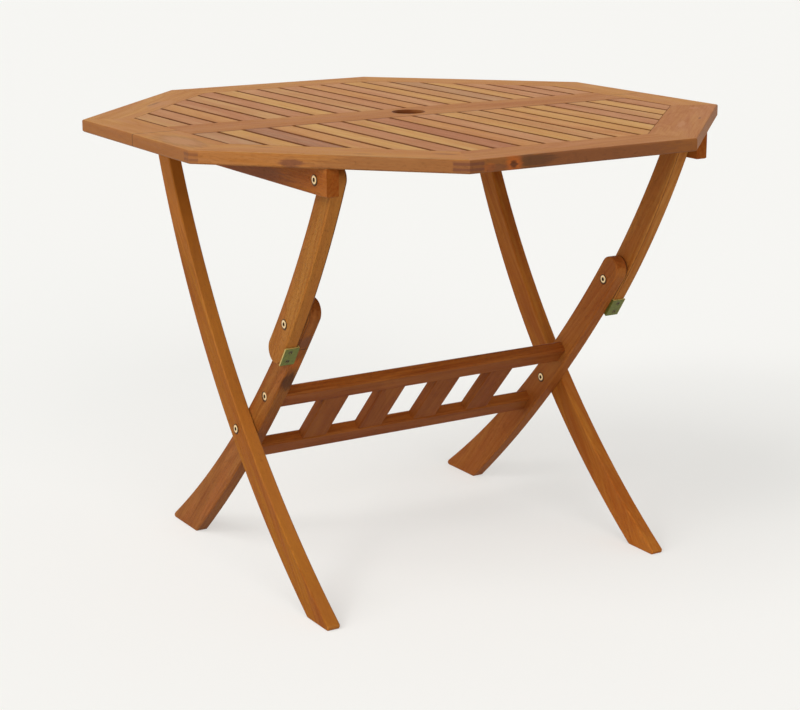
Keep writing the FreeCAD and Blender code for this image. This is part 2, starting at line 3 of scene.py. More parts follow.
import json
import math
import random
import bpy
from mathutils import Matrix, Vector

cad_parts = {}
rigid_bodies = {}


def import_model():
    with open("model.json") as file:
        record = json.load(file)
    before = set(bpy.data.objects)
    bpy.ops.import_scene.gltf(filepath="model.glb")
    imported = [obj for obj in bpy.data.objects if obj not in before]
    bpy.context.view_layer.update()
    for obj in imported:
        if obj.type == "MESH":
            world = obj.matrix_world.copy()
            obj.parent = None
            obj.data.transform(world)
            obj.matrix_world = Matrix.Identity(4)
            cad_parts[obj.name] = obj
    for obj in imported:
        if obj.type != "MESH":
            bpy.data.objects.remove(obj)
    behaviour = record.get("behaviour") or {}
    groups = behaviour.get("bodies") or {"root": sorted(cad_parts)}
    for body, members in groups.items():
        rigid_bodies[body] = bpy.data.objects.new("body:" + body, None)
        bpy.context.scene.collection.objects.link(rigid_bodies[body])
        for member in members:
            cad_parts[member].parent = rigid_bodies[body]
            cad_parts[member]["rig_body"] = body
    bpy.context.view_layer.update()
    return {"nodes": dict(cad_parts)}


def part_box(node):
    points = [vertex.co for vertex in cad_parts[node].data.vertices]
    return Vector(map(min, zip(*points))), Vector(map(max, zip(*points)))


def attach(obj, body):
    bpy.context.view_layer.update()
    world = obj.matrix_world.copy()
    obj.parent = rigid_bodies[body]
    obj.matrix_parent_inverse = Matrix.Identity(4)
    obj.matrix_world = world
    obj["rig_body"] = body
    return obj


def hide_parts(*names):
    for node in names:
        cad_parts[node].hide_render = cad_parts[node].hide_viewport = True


bl_info = {
    "name": "Umbrella Table Finisher",
    "version": (1, 0, 0),
    "blender": (4, 5, 0),
    "location": "View3D > Sidebar > Umbrella Table",
    "description": "Finishes a folding octagonal umbrella table and sets up its studio",
    "category": "Object",
}

import bpy
from bpy.props import FloatProperty, FloatVectorProperty, PointerProperty
from bpy.types import Operator, Panel, PropertyGroup
from mathutils import Euler, Matrix, Vector

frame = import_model()


# Colours and sizes
def paint(red, green, blue):
    """A colour as a screen shows it, 0 to 255, in the linear numbers that shaders use."""
    return tuple(((c / 255 + 0.055) / 1.055) ** 2.4 for c in (red, green, blue))


def deeper(colour, power):
    """The same tone, darker and stronger with a power above 1, paler with one below."""
    return tuple(c ** power for c in colour)


def colour_property(name, description, default):
    return FloatVectorProperty(name=name, description=description, default=default,
                               subtype="COLOR", size=3, min=0.0, max=1.0)


def length_property(name, description, default):
    return FloatProperty(name=name, description=description, default=default, min=0.0,
                         subtype="DISTANCE", unit="LENGTH", precision=5)


def share_property(name, description, default):
    return FloatProperty(name=name, description=description, default=default, min=0.0, max=1.0,
                         subtype="FACTOR")


def strength_property(name, description, default):
    return FloatProperty(name=name, description=description, default=default, min=0.0)


def angle_property(name, description, degrees):
    return FloatProperty(name=name, description=description, default=math.radians(degrees),
                         subtype="ANGLE", unit="ROTATION")


class WoodTones(PropertyGroup):
    """The heartwood and sapwood tones that the boards are sorted from, and the painted shade and
    light laid over them.
    """

    gold: colour_property("Gold", "Light honey-coloured slats", paint(201, 151, 85))
    tan: colour_property("Tan", "Plain tan slats", paint(195, 145, 90))
    orange: colour_property("Orange", "Orange tan slats", paint(194, 137, 77))
    pink: colour_property("Pink", "Pinkish tan slats", paint(191, 136, 89))
    brown: colour_property("Pink brown", "Pinkish brown slats", paint(184, 127, 82))
    purple: colour_property("Purple brown", "The darkest heartwood slats", paint(163, 112, 77))
    red: colour_property("Red brown", "Strong reddish brown slats", paint(175, 115, 74))
    grey: colour_property("Grey pink", "Slats with a greyish pink cast", paint(185, 139, 96))
    frame: colour_property("Frame boards", "The eight sides of the top", paint(190, 133, 67))
    rail: colour_property("Parasol rail", "The board with the parasol hole", paint(180, 120, 62))
    # Painted shade, laid on the outer edges of the top's boards
    edge: colour_property("Board edges", "Outer edges of the top's boards", paint(134, 82, 42))
    # Painted shade: the tone laid on the walls of the gaps between slats and boards, where the
    # slats meet the rail, and in the parasol hole
    gap: colour_property("Gap walls", "Bare wood in the gaps and in the parasol hole",
                         paint(92, 44, 12))
    blush: colour_property("Blush", "Pinkish patches in the slats and boards", paint(180, 118, 76))
    batten: colour_property("Battens", "Battens under the top", paint(154, 88, 31))
    leg: colour_property("Left long leg", "Golden brown", paint(150, 89, 14))
    # Painted light: the right-hand pieces are paler than the left to make up for the tabletop's
    # shade on them
    leg_right: colour_property("Right long leg", "Paler golden brown", paint(170, 102, 34))
    arm: colour_property("Left arm", "Tan brown", paint(157, 101, 38))
    # Painted light, as for the right long leg
    arm_right: colour_property("Right arm", "Paler tan brown", paint(172, 111, 48))
    segment_left: colour_property("Left segment", "Reddish brown", paint(140, 84, 32))
    # Painted light, as for the right long leg
    segment_right: colour_property("Right segment", "Paler reddish brown", paint(158, 94, 38))
    # Painted light on the front edges of the left long leg and arm
    leg_front: colour_property("Leg front edges", "Front edges of the left long leg and arm",
                               paint(170, 107, 46))
    leg_blush: colour_property("Leg blush", "Redder patches in the legs", paint(150, 84, 38))
    ladder: colour_property("Ladder", "Rails and rungs between the legs", paint(138, 75, 25))
    amber: colour_property("Amber", "Rings round the knots", paint(176, 92, 34))
    olive: colour_property("Olive", "Dark streaks beside a knot", paint(84, 58, 34))
    # Also the painted shade round the bolt heads and between arm and segment, and the dark joint
    # between end boards
    knot: colour_property("Knot", "Hearts of the knots", paint(66, 36, 20))
    stain: colour_property("Stain", "Brown stains and end grain", paint(112, 68, 46))


class GrainSizes(PropertyGroup):
    """The scale of everything that shows in the wood."""

    ring_spacing: length_property("Ring spacing", "Growth rings, one to the next", 0.0048)
    streak_length: length_property("Streak length", "Broad streaks along the grain", 0.16)
    streak_width: length_property("Streak width", "Broad streaks across the grain", 0.0042)
    fibre_length: length_property("Fibre length", "Fine fibres along the grain", 0.055)
    fibre_width: length_property("Fibre width", "Fine fibres across the grain", 0.0011)
    pore_length: length_property("Pore length", "Open pores along the grain", 0.009)
    pore_width: length_property("Pore width", "Open pores across the grain", 0.0005)
    patch_length: length_property("Patch length", "Slow changes of tone along a board", 0.24)
    relief: length_property("Relief", "Depth of the open grain", 0.00035)
    roughness: share_property("Roughness", "Of the oiled surface", 0.55)
    gloss: share_property("Gloss", "Strength of the oiled surface's shine", 0.08)


class BoltSizes(PropertyGroup):
    """The turned bolts."""

    head_radius: length_property("Head radius", "Radius of a bolt's round head", 0.0074)
    head_thickness: length_property("Head thickness", "How far a head stands out", 0.0016)
    head_rim: length_property("Head rim", "Rounding of a head's rim", 0.0005)
    # The rest of the head, out to its rim, takes painted shade
    shine_radius: length_property("Shine radius", "Bright part of a head, inside its dark rim",
                                  0.0063)
    shine_drift: length_property("Shine drift", "How far the bright part lies off the middle",
                                 0.0004)
    barrel_radius: length_property("Barrel radius", "Radius of the pivots", 0.0045)
    rail_bolt_radius: length_property("Rail bolt radius", "Radius of the bolts into the upper rail",
                                      0.003)
    key_radius: length_property("Key radius", "Corner radius of the key hole", 0.0036)
    key_depth: length_property("Key depth", "Depth of the key hole", 0.0013)


class MetalTones(PropertyGroup):
    """Bolts, brackets and screws."""

    brass: colour_property("Brass", "Bolt heads and sleeves", paint(244, 214, 164))
    bracket: colour_property("Bracket", "Olive passivated steel plate", paint(104, 108, 38))
    # Painted highlight on the plate's upper end and outer edge
    bracket_edge: colour_property("Bracket edge", "The plate's bright cut edges",
                                  paint(196, 170, 96))
    # Painted shade round the holes in the plate
    bracket_stain: colour_property("Bracket stain", "Round the holes in the plate",
                                   paint(64, 50, 30))
    # Painted shade in the key holes and round the rim of every bolt head
    socket: colour_property("Key hole", "Shade inside the key holes", paint(46, 32, 20))
    steel: colour_property("Steel", "Screws under the top", paint(168, 166, 158))
    scratch_length: length_property("Scratch length", "Fine marks in the metal", 0.004)


class Studio(PropertyGroup):
    """Camera, lamps and background."""

    camera_place: FloatVectorProperty(name="Camera place", description="Where the camera stands",
                                      default=(-1.6639, -2.7107, 1.1637), subtype="XYZ",
                                      unit="LENGTH", size=3)
    heading: angle_property("Heading", "Turn of the camera about the vertical", -31.27)
    tilt: angle_property("Tilt", "How far the camera looks down", 14.62)
    roll: angle_property("Roll", "Turn of the camera about its own axis", -0.165)
    lens: FloatProperty(name="Lens", description="Focal length on a 36 mm sensor", default=85.5,
                        subtype="DISTANCE_CAMERA", unit="CAMERA")
    background: colour_property("Background", "Floor and backdrop", paint(245, 244, 240))
    floor_size: length_property("Floor size", "Side of the square floor", 60.0)
    floor_bounce: share_property("Floor bounce", "How much of its light the floor throws back", 0.8)
    floor_gain: strength_property("Floor gain", "Brings the lit floor up to the backdrop's tone",
                                  1.12)
    floor_glow: share_property("Floor glow", "How far the backdrop's tone lightens the shadows",
                               0.55)
    sky: strength_property("Sky", "Even light from all round", 0.4)
    key: strength_property("Key lamp", "High soft lamp at the left", 0.87)
    streak: strength_property("Streak lamp", "Small lamp at the left, for the legs' shadows", 0.45)
    fill: strength_property("Fill lamp", "Low soft lamp at the left", 1.12)
    front: strength_property("Front lamp", "Soft lamp in front of the table", 1.1)
    softness: angle_property("Softness", "Angle that a soft lamp fills", 34)
    streak_softness: angle_property("Streak softness", "Angle that the streak lamp fills", 13)


# Shader values, nodes and recipes
MIX_SHARE, MIX_FIRST, MIX_SECOND, MIX_RESULT = 0, 6, 7, 2  # A Mix node's sockets for colours
SCREEN_STRENGTH = 1.0  # The strength at which a glow shows its colour as written


class Value:
    """A shader value that stands in a Python expression as a number does."""

    def __init__(self, recipe, socket):
        self.recipe = recipe
        self.socket = socket

    def math(self, operation, *values):
        return self.recipe.value("ShaderNodeMath", {"operation": operation},
                                 dict(enumerate(values)))

    def __add__(self, other):
        return self.math("ADD", self, other)

    def __radd__(self, other):
        return self.math("ADD", other, self)

    def __sub__(self, other):
        return self.math("SUBTRACT", self, other)

    def __rsub__(self, other):
        return self.math("SUBTRACT", other, self)

    def __mul__(self, other):
        return self.math("MULTIPLY", self, other)

    def __rmul__(self, other):
        return self.math("MULTIPLY", other, self)

    def __truediv__(self, other):
        return self.math("DIVIDE", self, other)

    def __rtruediv__(self, other):
        return self.math("DIVIDE", other, self)

    def __pow__(self, other):
        return self.math("POWER", self, other)

    def __abs__(self):
        return self.math("ABSOLUTE", self)

    def above(self, limit):
        return self.math("GREATER_THAN", self, limit)

    def most(self, other):
        return self.math("MAXIMUM", self, other)

    def ramp(self, low, high):
        """0 below low, 1 above high and smooth between; the other way round if low is larger."""
        return self.recipe.value("ShaderNodeMapRange",
                                 {"interpolation_type": "SMOOTHSTEP", "clamp": True},
                                 {"Value": self, "From Min": low, "From Max": high})


class Recipe:
    """The node tree of one material or world."""

    def __init__(self, owner):
        self.owner = owner
        owner.use_nodes = True
        self.tree = owner.node_tree
        self.tree.nodes.clear()

    def node(self, kind, settings, inputs):
        """Adds a node, settings first, then a number, colour or link to each named socket."""
        made = self.tree.nodes.new(kind)
        for name, setting in settings.items():
            setattr(made, name, setting)
        for name, given in inputs.items():
            socket = given.socket if isinstance(given, Value) else given
            if isinstance(socket, bpy.types.NodeSocket):
                self.tree.links.new(socket, made.inputs[name])
            else:
                made.inputs[name].default_value = socket
        return made

    def value(self, kind, settings, inputs):
        """A node's first output as a Value."""
        return Value(self, self.node(kind, settings, inputs).outputs[0])

    def mix(self, share, first, second):
        """A colour between two."""
        first, second = ((*c, 1.0) if isinstance(c, tuple) else c for c in (first, second))
        made = self.node("ShaderNodeMix", {"data_type": "RGBA", "clamp_factor": True},
                         {MIX_SHARE: share, MIX_FIRST: first, MIX_SECOND: second})
        return made.outputs[MIX_RESULT]

    def vector(self, operation, *vectors):
        """A link to a vector, or a Value where the operation gives a number."""
        made = self.node("ShaderNodeVectorMath", {"operation": operation},
                         dict(enumerate(vectors)))
        if operation in ("DOT_PRODUCT", "LENGTH"):
            return Value(self, made.outputs["Value"])
        return made.outputs["Vector"]

    def parts(self, vector):
        """The x, y and z of a vector."""
        made = self.node("ShaderNodeSeparateXYZ", {}, {"Vector": vector})
        return [Value(self, output) for output in made.outputs]

    def noise(self, vector, detail, roughness=0.5):
        return self.value("ShaderNodeTexNoise", {"noise_dimensions": "3D"},
                          {"Vector": vector, "Scale": 1.0, "Detail": detail,
                           "Roughness": roughness})

    def surface(self, colour, roughness, metallic, specular, height, relief):
        """The finished material, with the pattern called height as its relief."""
        bump = self.node("ShaderNodeBump", {},
                         {"Height": height, "Distance": relief, "Strength": 1.0})
        inputs = {"Base Color": colour, "Roughness": roughness, "Metallic": metallic,
                  "Specular IOR Level": specular, "Normal": bump.outputs["Normal"]}
        shader = self.node("ShaderNodeBsdfPrincipled", {}, inputs)
        self.node("ShaderNodeOutputMaterial", {}, {"Surface": shader.outputs["BSDF"]})
        return self.owner


def middle(node):
    low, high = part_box(node)
    return (low + high) / 2


def body_of(node):
    return frame["nodes"][node]["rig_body"]


def dress(node, material):
    """Gives a frame node its finish."""
    for slot in frame["nodes"][node].material_slots:
        slot.material = material


# How squarely a surface has to face a way, as cosines: where that begins to count and where it
# counts in full
FACES = (0.4, 0.6)
FACES_GRAIN = (0.75, 0.95)  # Along the grain, where the end grain shows
FACES_FRONT = (-0.3, -0.7)  # Measured towards the rear
FACES_EDGEWAYS = (0.7, 0.5)  # Measured sideways

# How a piece was cut from its tree, each a range to draw from: the shift through the patterns,
# the pith's place across and below the piece in metres, and the lean of the pith
CUT_SHIFT = (-9, 9)
PITH_ACROSS, PITH_BELOW, PITH_LEAN = (-0.035, 0.035), (-0.09, -0.05), (0.02, 0.05)

# Each pattern's noise: the shift that keeps it apart from the others, its detail and roughness
STREAKS = ((3.1, 1.7, 5.3), 3.0, 0.6)
FIBRES = ((7.9, 2.3, 0.7), 3.0, 0.65)
PATCHES = ((1.3, 8.9, 4.1), 1.0)
BLUSHES = ((6.3, 0.9, 2.1), 1.0)
PORES = ((5.7, 6.1, 2.9), 0.0)
MARK_RIMS = ((2.2, 4.4, 6.6), 3.0)
RING_WANDER = ((0.0, 0.0, 0.0), 2.0)

# From where to where each pattern shows, and how much it then darkens the wood
RINGS_SHOW, RINGS_DEPTH = (0.3, 0.72), 0.34
STREAKS_SHOW, STREAKS_DEPTH = (0.34, 0.7), 0.36
PATCHES_SHOW, PATCHES_DEPTH = (0.35, 0.65), 0.3
PORES_SHOW, PORES_DEPTH = (0.66, 0.78), 0.25
FIBRES_DEPTH, END_GRAIN_DEPTH = 0.55, 0.35
BLUSHES_SHOW, BLUSHES_STRENGTH = (0.42, 0.68), 0.6
# How much rougher the raised fibres and the end grain are
FIBRES_ROUGHEN, END_GRAIN_ROUGHENS = 0.16, 0.2
# Patches and blushes, against the length of a patch
PATCH_WIDTH, BLUSH_LENGTH, BLUSH_WIDTH = 1 / 6, 0.8, 1 / 9
# The powers that make a tone's light and dark wood
LIGHT_WOOD, DARK_WOOD = 0.93, 1.3

# The uneven rim of a mark: its length and width, how far it strays, and where the mark shows
MARK_RIM_LENGTH, MARK_RIM_WIDTH, MARK_RIM_STRAYS, MARK_SHOWS = 0.03, 0.0024, 1.1, (0.05, 0.55)
# The wander of the growth rings: its length, its width and how far they stray, in metres
WANDER_LENGTH, WANDER_WIDTH, RINGS_STRAY = 0.22, 0.05, 0.03
# How far along and through the tree the second run of a split node was cut from the first
SECOND_RUN_ALONG, SECOND_RUN_THROUGH = 0.61, 0.013

# How strongly each mark is laid over the grain (painted shade in the gaps, the hole, the seats and
# between layers, painted light on the front edges, and the dark joints and fingers), and how softly
# the round ones begin
GAP_WALL, INNER_WALL, BORE_WALL, FRONT_EDGE_LIGHT = 0.88, 0.85, 0.8, 0.6
SLAT_END_LINE, BUTT_LINE, LAYER_LINE = 0.8, 0.9, 0.95
SEAT_RING, SEAT_RIM = 0.85, (0.0, 0.08)
FINGER_BACK, FINGER_CONTRAST, FINGER_RIM = 0.25, 0.4, (0.0, 0.12)


class Timber(Recipe):
    """A wood finish, laid along the grain of one frame node."""

    def __init__(self, node, grain, face):
        super().__init__(bpy.data.materials.new(f"{node}_wood"))
        self.frame_node = node
        self.grains = bpy.context.scene.grain_sizes
        self.woods = bpy.context.scene.wood_tones
        self.centre = middle(node)
        along, out = Vector(grain).normalized(), Vector(face).normalized()
        across = out.cross(along).normalized()
        self.axes = Matrix((along, across, along.cross(across)))
        luck = random.Random(node)
        self.shift = tuple(luck.uniform(*CUT_SHIFT) for _ in range(3))
        self.pith = (luck.uniform(*PITH_ACROSS), luck.uniform(*PITH_BELOW))
        self.lean = luck.uniform(*PITH_LEAN) * luck.choice((-1, 1))
        place = self.node("ShaderNodeTexCoord", {}, {})
        self.place, self.normal = place.outputs["Object"], place.outputs["Normal"]
        mapping = self.node("ShaderNodeMapping", {"vector_type": "TEXTURE"},
                            {"Vector": self.place, "Location": tuple(self.centre),
                             "Rotation": self.axes.transposed().to_euler()})
        self.on_piece = self.in_tree = mapping.outputs["Vector"]
        self.end_grain = abs(self.facing(along)).ramp(*FACES_GRAIN)
        self.laid = []

    def facing(self, direction):
        """1 where the surface faces this way, -1 where it faces the other way."""
        return self.vector("DOT_PRODUCT", self.normal, tuple(direction))

    def walls(self, direction):
        """1 on the surfaces that face this way or the other way, 0 on the rest."""
        return abs(self.facing(direction)).ramp(*FACES)

    def coordinate(self, axis):
        return self.parts(self.place)["XYZ".index(axis)]

    def spot(self, centre, radii):
        """1 in the middle of a patch with radii along, across and through, 0 at its rim."""
        point = self.axes @ (Vector(centre) - self.centre)
        away = self.vector("SUBTRACT", self.on_piece, tuple(point))
        return 1 - self.vector("LENGTH", self.vector("DIVIDE", away, radii))

    def lay(self, mask, tone):
        """Lays one of the wood tones, painted shade and light among them, over the grain where the
        mask is 1.
        """
        self.laid.append((mask, tuple(getattr(self.woods, tone))))

    def lay_marks(self):
        """The piece's knots, stains, changes of tone and patches of painted light, with soft,
        uneven rims.
        """
        for tone, strength, centre, radii in MARKS.get(self.frame_node, ()):
            rim = self.pattern(MARK_RIM_LENGTH, MARK_RIM_WIDTH, *MARK_RIMS) - 0.5
            mark = (self.spot(centre, radii) + rim * MARK_RIM_STRAYS).ramp(*MARK_SHOWS)
            self.lay(mark * strength, tone)

    def shade_seats(self):
        """Painted shade: a dark line round every bolt head that sits on the piece."""
        low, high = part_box(self.frame_node)
        for y, z in BOLT_POINTS.values():
            if low.y < y < high.y and low.z < z < high.z:
                shaded = (self.centre.x, y + SEAT_SHADE_DRIFT[0], z + SEAT_SHADE_DRIFT[1])
                seat = self.spot(shaded, (SEAT_SHADE, SEAT_SHADE, 1.0))
                self.lay(seat.ramp(*SEAT_RIM) * SEAT_RING, "knot")

    def split(self, mask):
        """Gives the part of a node where the mask is 1 its own run of the grain."""
        moved = self.node("ShaderNodeCombineXYZ", {}, {"X": mask * SECOND_RUN_ALONG,
                                                       "Z": mask * SECOND_RUN_THROUGH})
        self.in_tree = self.vector("ADD", self.in_tree, moved.outputs["Vector"])

    def pattern(self, length, width, shift, detail, roughness=0.5):
        """A noise whose unit is length along the grain and width across it."""
        scaled = self.vector("MULTIPLY", self.in_tree, (1 / length, 1 / width, 1 / width))
        shifted = self.vector("ADD", scaled, tuple(a + b for a, b in zip(self.shift, shift)))
        return self.noise(shifted, detail, roughness)

    def rings(self):
        """Growth rings, cut at a slant so that they run out in long arches."""
        wander = self.pattern(WANDER_LENGTH, WANDER_WIDTH, *RING_WANDER)
        x, y, z = self.parts(self.in_tree)
        y, z = y - self.pith[0], z - self.pith[1]
        radius = (y * y + z * z) ** 0.5 + x * self.lean + (wander - 0.5) * RINGS_STRAY
        bands = self.value("ShaderNodeTexNoise", {"noise_dimensions": "1D"},
                           {"W": radius / self.grains.ring_spacing, "Scale": 1.0,
                            "Detail": 1.5, "Roughness": 0.6})
        return bands.ramp(*RINGS_SHOW)

    def finish(self, light, dark, blush, figure=1.0):
        """light, dark and blush are colours or links; figure is how strongly the rings show."""
        g = self.grains
        streaks = self.pattern(g.streak_length, g.streak_width, *STREAKS)
        fibres = self.pattern(g.fibre_length, g.fibre_width, *FIBRES)
        patches = self.pattern(g.patch_length, g.patch_length * PATCH_WIDTH, *PATCHES)
        blushes = self.pattern(g.patch_length * BLUSH_LENGTH, g.patch_length * BLUSH_WIDTH,
                               *BLUSHES)
        pores = self.pattern(g.pore_length, g.pore_width, *PORES).ramp(*PORES_SHOW)
        depth = (self.rings() * RINGS_DEPTH * figure
                 + streaks.ramp(*STREAKS_SHOW) * STREAKS_DEPTH
                 + patches.ramp(*PATCHES_SHOW) * PATCHES_DEPTH
                 + (fibres - 0.5) * FIBRES_DEPTH
                 + pores * PORES_DEPTH
                 + self.end_grain * END_GRAIN_DEPTH)
        blushed = self.mix(blushes.ramp(*BLUSHES_SHOW) * BLUSHES_STRENGTH, light, blush)
        colour = self.mix(depth, blushed, dark)
        for mask, tone in self.laid:
            colour = self.mix(mask, colour, tone)
        roughness = (g.roughness + (fibres - 0.5) * FIBRES_ROUGHEN
                     + self.end_grain * END_GRAIN_ROUGHENS)
        dress(self.frame_node, self.surface(colour, roughness, 0.0, g.gloss,
                                            fibres * 0.5 - pores, g.relief))

    def finish_in(self, tone, blush="blush", figure=1.0):
        """The whole piece in one of the named tones."""
        light, dark = tones_of(getattr(self.woods, tone))
        self.finish(light, dark, tuple(getattr(self.woods, blush)), figure)


def tones_of(colour):
    """The light and dark wood of one tone."""
    return deeper(colour, LIGHT_WOOD), deeper(colour, DARK_WOOD)


# Ways that the grain runs and the pieces face
UP = (0.0, 0.0, 1.0)
SIDEWAYS = (1.0, 0.0, 0.0)
LENGTHWAYS = (0.0, 1.0, 0.0)
RUNG_RUN = (0.0, 0.6756, -0.7373)
LADDER_FACE = (0.0, -0.7373, -0.6756)
BRACKET_UPWARD = (0.0, -0.568, 0.823)
LEG_RUNS = {"long_leg": (0.0, 0.5478, 0.7145), "upper_arm": (0.0, -0.1415, 0.2472),
            "lower_segment": (0.0, -0.4515, 0.4673)}
# The right-hand pieces take paler tones than the left: painted light for the tabletop's shade on
# them
LEG_TONES = {"left_long_leg": "leg", "left_upper_arm": "arm",
             "left_lower_segment": "segment_left", "right_long_leg": "leg_right",
             "right_upper_arm": "arm_right", "right_lower_segment": "segment_right"}

# Boards round the top: the turn of the grain, the tone, and how strongly painted shade darkens the
# outer edge
DIAGONAL = math.radians(45.3)
SQUARE = math.pi / 2
TOP_BOARDS = {
    "front_board": (0.0, "rail", 0.95),
    "rear_board": (0.0, "frame", 0.6),
    "front_left_diagonal_board": (-DIAGONAL, "frame", 0.55),
    "rear_right_diagonal_board": (-DIAGONAL, "frame", 0.6),
    "front_right_diagonal_board": (DIAGONAL, "rail", 0.6),
    "rear_left_diagonal_board": (DIAGONAL, "frame", 0.6),
    "right_front_end_board": (SQUARE, "frame", 0.6),
    "right_rear_end_board": (SQUARE, "frame", 0.6),
    "left_front_end_board": (SQUARE, "frame", 0.8),
    "left_rear_end_board": (SQUARE, "frame", 0.8),
}
# Corners with finger joints, as x, y, the length of the fingers and how dark they are
FINGER_CORNERS = ((-0.5, -0.202, 0.016, 1.0), (-0.2055, -0.5, 0.026, 1.45),
                  (0.2055, 0.5, 0.022, 1.0), (0.5, 0.202, 0.022, 1.0))
FINGER_PITCH = 0.008
CORNER_REACH = 0.01  # How far from its board a corner may lie
BUTT_EDGES = (0.0013, 0.0007)  # Half the line where two end boards meet, faint to full

# Where the front slats meet the rail, half the painted shade line there, faint to full, and the
# radius of the parasol hole with its rim, inside which shade is painted
SLAT_END, SLAT_END_EDGES = 0.0473, (0.0038, 0.0026)
HOLE_RIM = 0.0283

# The layers' faces from the outside in, as distances from the table's middle, and the points
# that the bolts go through, as (y, z)
BATTEN_OUT, LEG_OUT, LEG_IN, SEGMENT_OUT, SEGMENT_IN = 0.3525, 0.332, 0.309, 0.3085, 0.2855
BOLT_POINTS = {"arm": (-0.3145, 0.7145), "leg": (0.2775, 0.7145), "elbow": (-0.173, 0.4673),
               "crossing": (0.005, 0.2524), "rail": (-0.05358, 0.31864)}
# The painted shade round a bolt head: its radius and how far it lies off the head
SEAT_SHADE, SEAT_SHADE_DRIFT = 0.0094, (0.0011, -0.0009)
# The painted shade line between arm and segment: half its width and where it starts, faint to full
LAYER_EDGES, OVERLAP_START = (0.0034, 0.0024), (0.405, 0.407)
# Holes in a bracket's outer flange, as (y, z), and the radius of the painted shade round them,
# faint to full
BRACKET_HOLES = ((-0.1701, 0.4195), (-0.1587, 0.4030))
BRACKET_HOLE_EDGES = (0.0042, 0.0030)

# The slats as they lie in the top, from the left end to the right end
REAR_SLATS = ("tan pink orange brown tan brown gold pink tan pink orange pink gold tan grey "
              "gold pink brown pink").split()
FRONT_SLATS = ("grey gold purple orange gold brown gold red orange pink gold tan orange gold gold "
               "brown tan gold brown").split()

# Knots, stains and figure that stand out, and a few patches of painted light, each with its tone,
# strength, place, and radii along, across and through the piece
MARKS = {
    "left_batten": (("stain", 0.6, (-0.3525, -0.12, 0.705), (0.15, 0.03, 0.03)),),
    "front_board": (
        ("olive", 0.9, (-0.092, -0.5, 0.746), (0.046, 0.02, 0.013)),
        ("amber", 0.9, (-0.131, -0.5, 0.744), (0.020, 0.03, 0.015)),
        ("knot", 0.85, (-0.131, -0.5, 0.744), (0.009, 0.03, 0.007)),
        ("amber", 0.5, (-0.172, -0.5, 0.742), (0.014, 0.02, 0.008)),
        ("stain", 0.6, (-0.158, -0.5, 0.741), (0.030, 0.02, 0.007)),
        ("stain", 0.5, (0.02, -0.5, 0.745), (0.20, 0.006, 0.03)),
    ),
    "front_left_diagonal_board": (
        ("stain", 0.85, (-0.391, -0.312, 0.742), (0.024, 0.02, 0.010)),
        ("stain", 0.45, (-0.280, -0.425, 0.745), (0.18, 0.012, 0.03)),
        ("stain", 0.6, (-0.302, -0.368, 0.755), (0.020, 0.004, 0.01)),
        ("stain", 0.7, (-0.203, -0.431, 0.755), (0.026, 0.005, 0.01)),
        ("stain", 0.5, (-0.393, -0.229, 0.755), (0.022, 0.005, 0.01)),
    ),
    "left_front_end_board": (
        ("stain", 0.45, (-0.468, -0.110, 0.755), (0.100, 0.036, 0.05)),
        ("pink", 0.75, (-0.468, -0.108, 0.755), (0.078, 0.026, 0.04)),
    ),
    "rear_left_diagonal_board": (
        ("brown", 0.7, (-0.3085, 0.319, 0.755), (0.075, 0.016, 0.02)),
        ("stain", 0.5, (-0.318, 0.324, 0.755), (0.040, 0.005, 0.01)),
    ),
    "front_right_diagonal_board": (
        ("blush", 0.9, (0.433, -0.219, 0.755), (0.014, 0.012, 0.02)),
        ("stain", 0.7, (0.358, -0.324, 0.755), (0.014, 0.003, 0.01)),
        ("brown", 0.7, (0.286, -0.364, 0.755), (0.050, 0.008, 0.02)),
    ),
    "slats_10": (("brown", 0.6, (-0.0105, -0.323, 0.755), (0.045, 0.008, 0.01)),),
    "slats_13": (("red", 0.7, (0.142, -0.157, 0.755), (0.030, 0.006, 0.01)),),
    "slats_16": (("knot", 0.6, (0.248, -0.069, 0.755), (0.008, 0.004, 0.01)),),
    # Painted light: a paler patch at the top of the left long leg, where the tabletop shades it
    "left_long_leg": (("leg_right", 0.8, (-0.3205, 0.235, 0.655), (0.20, 0.09, 0.09)),),
    # Painted light: paler wood on the arm behind the bracket's two holes
    "left_upper_arm": (
        ("gold", 1.0, (-0.3205, -0.1682, 0.4208), (0.005, 0.005, 0.005)),
        ("gold", 1.0, (-0.3205, -0.1568, 0.4043), (0.005, 0.005, 0.005)),
    ),
    "left_lower_segment": (
        ("knot", 0.75, (-0.297, -0.118, 0.356), (0.034, 0.014, 0.02)),
        ("amber", 0.6, (-0.297, -0.150, 0.392), (0.024, 0.010, 0.02)),
        ("stain", 0.8, (-0.297, -0.172, 0.436), (0.020, 0.016, 0.02)),
        # A thin dark line across the segment, level with the top of the bracket
        ("knot", 0.9, (-0.297, -0.1590, 0.4262), (0.0014, 0.03, 0.03)),
    ),
}


class TABLE_OT_slats(Operator):
    """Finish the slats, each pair of front and rear slat in its own two tones"""

    bl_idname = "umbrella_table.slats"
    bl_label = "Slats"

    def execute(self, context):
        woods = context.scene.wood_tones
        for index, (front, rear) in enumerate(zip(FRONT_SLATS, REAR_SLATS), 1):
            timber = Timber(f"slats_{index:02d}", LENGTHWAYS, UP)
            y = timber.coordinate("Y")
            is_rear = y.above(0.0)
            timber.split(is_rear)
            timber.lay_marks()
            # Painted shade on the slats' side walls, in the gaps between them
            timber.lay(timber.walls(SIDEWAYS) * GAP_WALL, "gap")
            # Painted shade: a dark line across the slats where they meet the rail
            timber.lay(abs(y + SLAT_END).ramp(*SLAT_END_EDGES) * SLAT_END_LINE, "gap")
            tones = [tones_of(getattr(woods, tone)) for tone in (front, rear)]
            light, dark = (timber.mix(is_rear, a, b) for a, b in zip(*tones))
            timber.finish(light, dark, tuple(woods.blush), figure=0.8)
        return {"FINISHED"}


